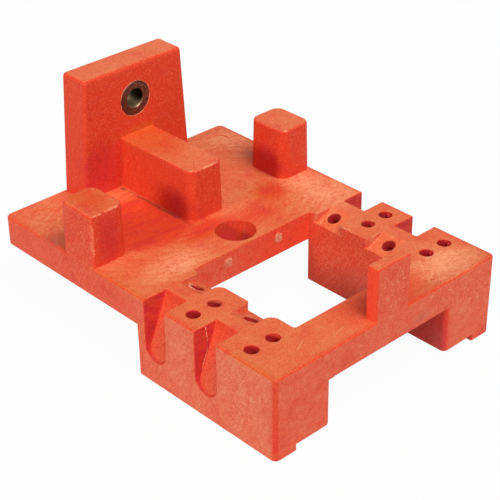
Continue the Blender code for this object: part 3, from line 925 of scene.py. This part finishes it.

# Burrs: paler, whitened plastic on the gates' stubs and rims on the window's back wall, the flash in the
# left front slot and the drilled pocket holes; pale arcs at the guide holes; a painted highlight round the
# bush
GATES = [(-0.0101, -0.0035), (0.0106, -0.0035)]
GATE_RADIUS = 0.0017
STUB_SIZE = (0.0013, 0.00014, 0.0017)
STUB_TOP = 0.0011
STREAKS = [
    [(0.0242, 0.0516, -0.00300), (0.0252, 0.0520, -0.00262), (0.0262, 0.0519, -0.00220),
     (0.0273, 0.0523, -0.00178)],
    [(0.0243, 0.0312, -0.00300), (0.0260, 0.0314, -0.00230), (0.0280, 0.0316, -0.00150),
     (0.0300, 0.0317, -0.00066), (0.0314, 0.0318, -0.00010)],
    [(0.0241, 0.0441, -0.0002), (0.0244, 0.0425, 0), (0.0241, 0.0410, -0.0001),
     (0.0246, 0.0395, 0), (0.0241, 0.0382, -0.0001), (0.0243, 0.0365, 0), (0.0241, 0.0350, -0.0002)],
    [(0.0244, 0.0546, 0), (0.0252, 0.0539, -0.0001), (0.0262, 0.0534, 0), (0.0275, 0.0534, 0)],
    [(-0.0093, 0.0007, -0.0001), (-0.0140, 0.0008, -0.0001), (-0.0200, 0.0007, -0.0001)]]
FLASH = [(-0.0406, -0.0006), (-0.0401, -0.0052), (-0.0404, -0.0091), (-0.0418, -0.0121),
         (-0.0428, -0.0157)]
FLASH_RADII = [0.00010, 0.00016, 0.00016, 0.00012, 0.00005]
# Lips at three pocket holes: side, row, the arc's start and end, and thickness
LIPS = [(-1, 1, -0.6, 2.0, 0.00034), (-1, 0, 0.8, 2.6, 0.00010), (1, 1, 0.2, 2.0, 0.00012)]
PALE_RED = (0.80, 0.12, 0.05, 1)
PALE_FLECKS = (0.90, 0.42, 0.24, 1)

pale = Finish("whitened_plastic_and_highlight")
flecks = pale.noise(0.0006, 2.0)
pale_colour = pale.mix(flecks.smooth(0.35, 0.60), PALE_RED, PALE_FLECKS)
pale.finish(Base_Color=pale_colour, Roughness=0.55)
burrs_and_highlight = bmesh.new()
for x, z in GATES:
    stub = bmesh.ops.create_uvsphere(burrs_and_highlight, u_segments=20, v_segments=12, radius=1)["verts"]
    for vert in stub:
        wide, deep_red_and_shade, high = stretched(vert.co, STUB_SIZE)
        vert.co = Vector((wide, deep_red_and_shade, min(high, STUB_TOP)))
    bmesh.ops.translate(burrs_and_highlight, verts=stub, vec=(x, WINDOW_BACK, z))
    rim = arc((x, WINDOW_BACK, z), FRONTAL, GATE_RADIUS, 1.2, 5.6, 20)
    thread(burrs_and_highlight, rim, fading(rim, 0.00018))
for points in STREAKS:
    streak = [Vector(point) for point in points]
    thread(burrs_and_highlight, streak, fading(streak, 0.00020, 0.5))
seam = [Vector((x, SLOT_MIDDLES[0] + SLOT_HALF, z)) for x, z in FLASH]
thread(burrs_and_highlight, seam, FLASH_RADII)
# A painted highlight: a pale thread round the bush's seat
bush_rim = (0, UPRIGHT_FRONT, BUSH_HEIGHT)
ring = arc(bush_rim, FRONTAL, BUSH_SEAT_RADIUS + 0.00006, 0, 2 * math.pi, 72)
thread(burrs_and_highlight, ring, [0.00011 * pick.uniform(0.4, 1) for point in ring])
for side, row, start, end, radius in LIPS:
    centre = (side * POCKET_HOLE_SIDE, POCKET_HOLE_ROWS[row], pocket_floor(POCKET_HOLE_SIDE))
    floor_plane = ((side * math.cos(GUIDE_ANGLE), 0, math.sin(GUIDE_ANGLE)), (0, 1, 0))
    lip = arc(centre, floor_plane, HOLE_RADIUS + 0.00025, start, end)
    thread(burrs_and_highlight, lip, fading(lip, radius))
# Pale arcs on the right rims of the right block's guide holes
for side in HOLE_SIDES:
    for row in HOLE_ROWS:
        pale_arc = arc((side, row, 0), LEVEL, HOLE_RADIUS + 0.00020, -0.9, 1.1, 12)
        thread(burrs_and_highlight, pale_arc, fading(pale_arc, 0.00014, 0.8))
finished("burrs_and_highlight", burrs_and_highlight, pale.material)

# Drill bush: a turned and hardened steel ring, pressed into the upright. Its ends are chamfered, its face
# is browned, and the bore is polished by drills, with painted light low in it and painted shade above
BUSH_EDGE = 0.0003
BORE_RADIUS = 0.0030
BUSH_STEPS = 96

bush_low, bush_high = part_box("drill_bushing")
bush_centre = (bush_low + bush_high) / 2
bush_radius = (bush_high.x - bush_low.x) / 2
bush_half = (bush_high.y - bush_low.y) / 2
inner, outer = BORE_RADIUS, bush_radius
outline = [
    (inner, -bush_half + 2 * BUSH_EDGE), (inner + BUSH_EDGE / 3, -bush_half + BUSH_EDGE),
    (inner + BUSH_EDGE, -bush_half), (outer - BUSH_EDGE, -bush_half), (outer, -bush_half + BUSH_EDGE),
    (outer, bush_half - BUSH_EDGE), (outer - BUSH_EDGE, bush_half), (inner + BUSH_EDGE, bush_half),
    (inner, bush_half - BUSH_EDGE)]
shape = bmesh.new()
section = [shape.verts.new((radius, depth, 0)) for radius, depth in outline]
loop = [shape.edges.new((one, other)) for one, other in zip(section, section[1:] + section[:1])]
bmesh.ops.spin(
    shape, geom=section + loop, cent=(0, 0, 0), axis=(0, 1, 0), angle=2 * math.pi, steps=BUSH_STEPS,
    use_merge=True)
bmesh.ops.recalc_face_normals(shape, faces=shape.faces)
bmesh.ops.translate(shape, verts=shape.verts, vec=bush_centre)
for face in shape.faces:
    face.smooth = True
for edge in shape.edges:
    if len(edge.link_faces) == 2 and edge.calc_face_angle() > SHARP_FROM:
        edge.smooth = False
bush = new_piece("bush", shape)

FACE_BROWN = (0.250, 0.100, 0.060, 1)
FACE_DARK = (0.105, 0.048, 0.032, 1)
BORE_LIT = (0.80, 0.56, 0.30, 1)
BORE_SHADE = (0.016, 0.010, 0.006, 1)
steel = Finish("bush_steel")
steel.place = steel.moved(Location=bush_centre)
across, depth, up = steel.parts(steel.place)
from_axis = (across * across + up * up).maths("SQRT")
in_bore = from_axis.smooth(BORE_RADIUS + 0.00025, BORE_RADIUS + 0.00005)
stain = steel.noise(0.0011, 4.0, 0.65)
turning = steel.noise(0.00016, 1.0)
browned = stain.smooth(0.38, 0.62) * across.smooth(-0.0090, 0.0030)
face_colour = steel.mix(browned, FACE_DARK, FACE_BROWN)
# Painted light low in the bore, painted shade above it
lit_low_in_bore = up.smooth(0.0002, -0.0024) * across.smooth(0.0032, 0.0012)
bore_colour = steel.mix(lit_low_in_bore * (0.5 + stain), BORE_SHADE, BORE_LIT)
steel_colour = steel.mix(in_bore, face_colour, bore_colour)
uneven = stain + turning * 0.3
steel_bump = steel.node("ShaderNodeBump", None, {"Strength": 0.3, "Distance": 0.0001, "Height": uneven})
bush.data.materials.append(steel.finish(
    Base_Color=steel_colour, Roughness=0.34 + 0.16 * stain, Metallic=1.0, Normal=steel_bump))
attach(bush, "root")
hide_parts("drill_bushing")
